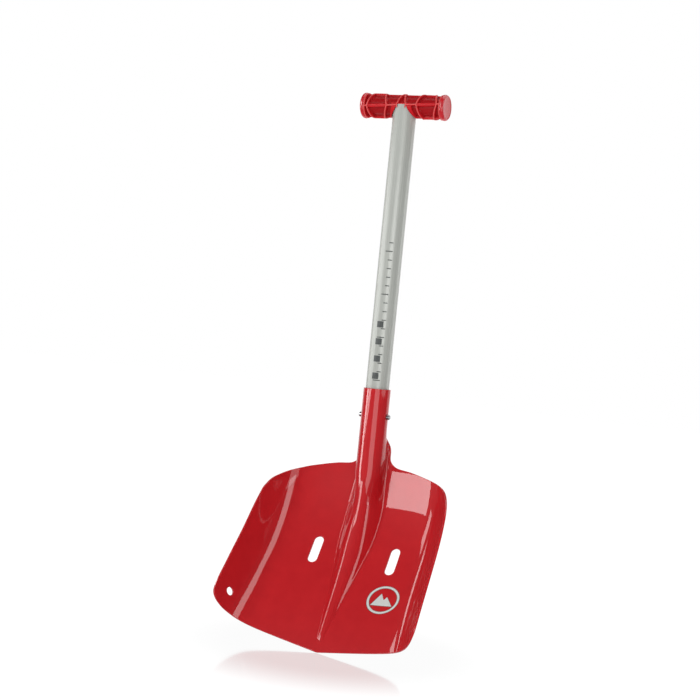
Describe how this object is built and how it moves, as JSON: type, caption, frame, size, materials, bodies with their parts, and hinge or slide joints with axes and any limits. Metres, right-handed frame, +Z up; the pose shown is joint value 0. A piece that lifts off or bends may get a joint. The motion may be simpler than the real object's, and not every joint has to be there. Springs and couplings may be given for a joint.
{
  "type": "avalanche shovel",
  "caption": "Compact avalanche shovel: pressed scoop blade with rolled socket, tube shaft held by snap buttons, and a lattice T-grip.",
  "frame": {"origin": "on the ground under the middle of the object's box; the blade's tip stands on z = 0", "axes": "+Z up along the shaft, +X along the grip, -Y the way the scoop faces"},
  "size_m": [0.2472, 0.1414, 0.64],
  "materials": {
    "blade_paint": "gloss",
    "shaft_aluminium": "satin anodised",
    "black_plastic": "matte",
    "button_steel": "polished",
    "grip_plastic": "semi-gloss moulded"
  },
  "bodies": {
    "blade": {"blade": "blade_paint"},
    "handle": {"shaft_tube": "shaft_aluminium", "shaft_end_plug": "black_plastic", "button_spring": "button_steel", "grip_body": "grip_plastic", "grip_cap_left": "grip_plastic", "grip_cap_right": "grip_plastic"},
    "left_button": {"button_left": "button_steel"},
    "right_button": {"button_right": "button_steel"}
  },
  "joints": [
    {"name": "shaft_pull", "type": "slide", "parent": "blade", "child": "handle", "axis": [0, 0, 1], "range_m": [0, 0.12], "deforming": ["button_left", "button_right"]},
    {"name": "left_button_press", "type": "slide", "parent": "handle", "child": "left_button", "axis": [1, 0, 0], "range_m": [0, 0.0065], "stiffness_N_per_m": 500, "springref_m": -0.004, "deforming": ["button_spring"]},
    {"name": "right_button_press", "type": "slide", "parent": "handle", "child": "right_button", "axis": [-1, 0, 0], "range_m": [0, 0.0065], "stiffness_N_per_m": 500, "springref_m": -0.004, "deforming": ["button_spring"]}
  ]
}
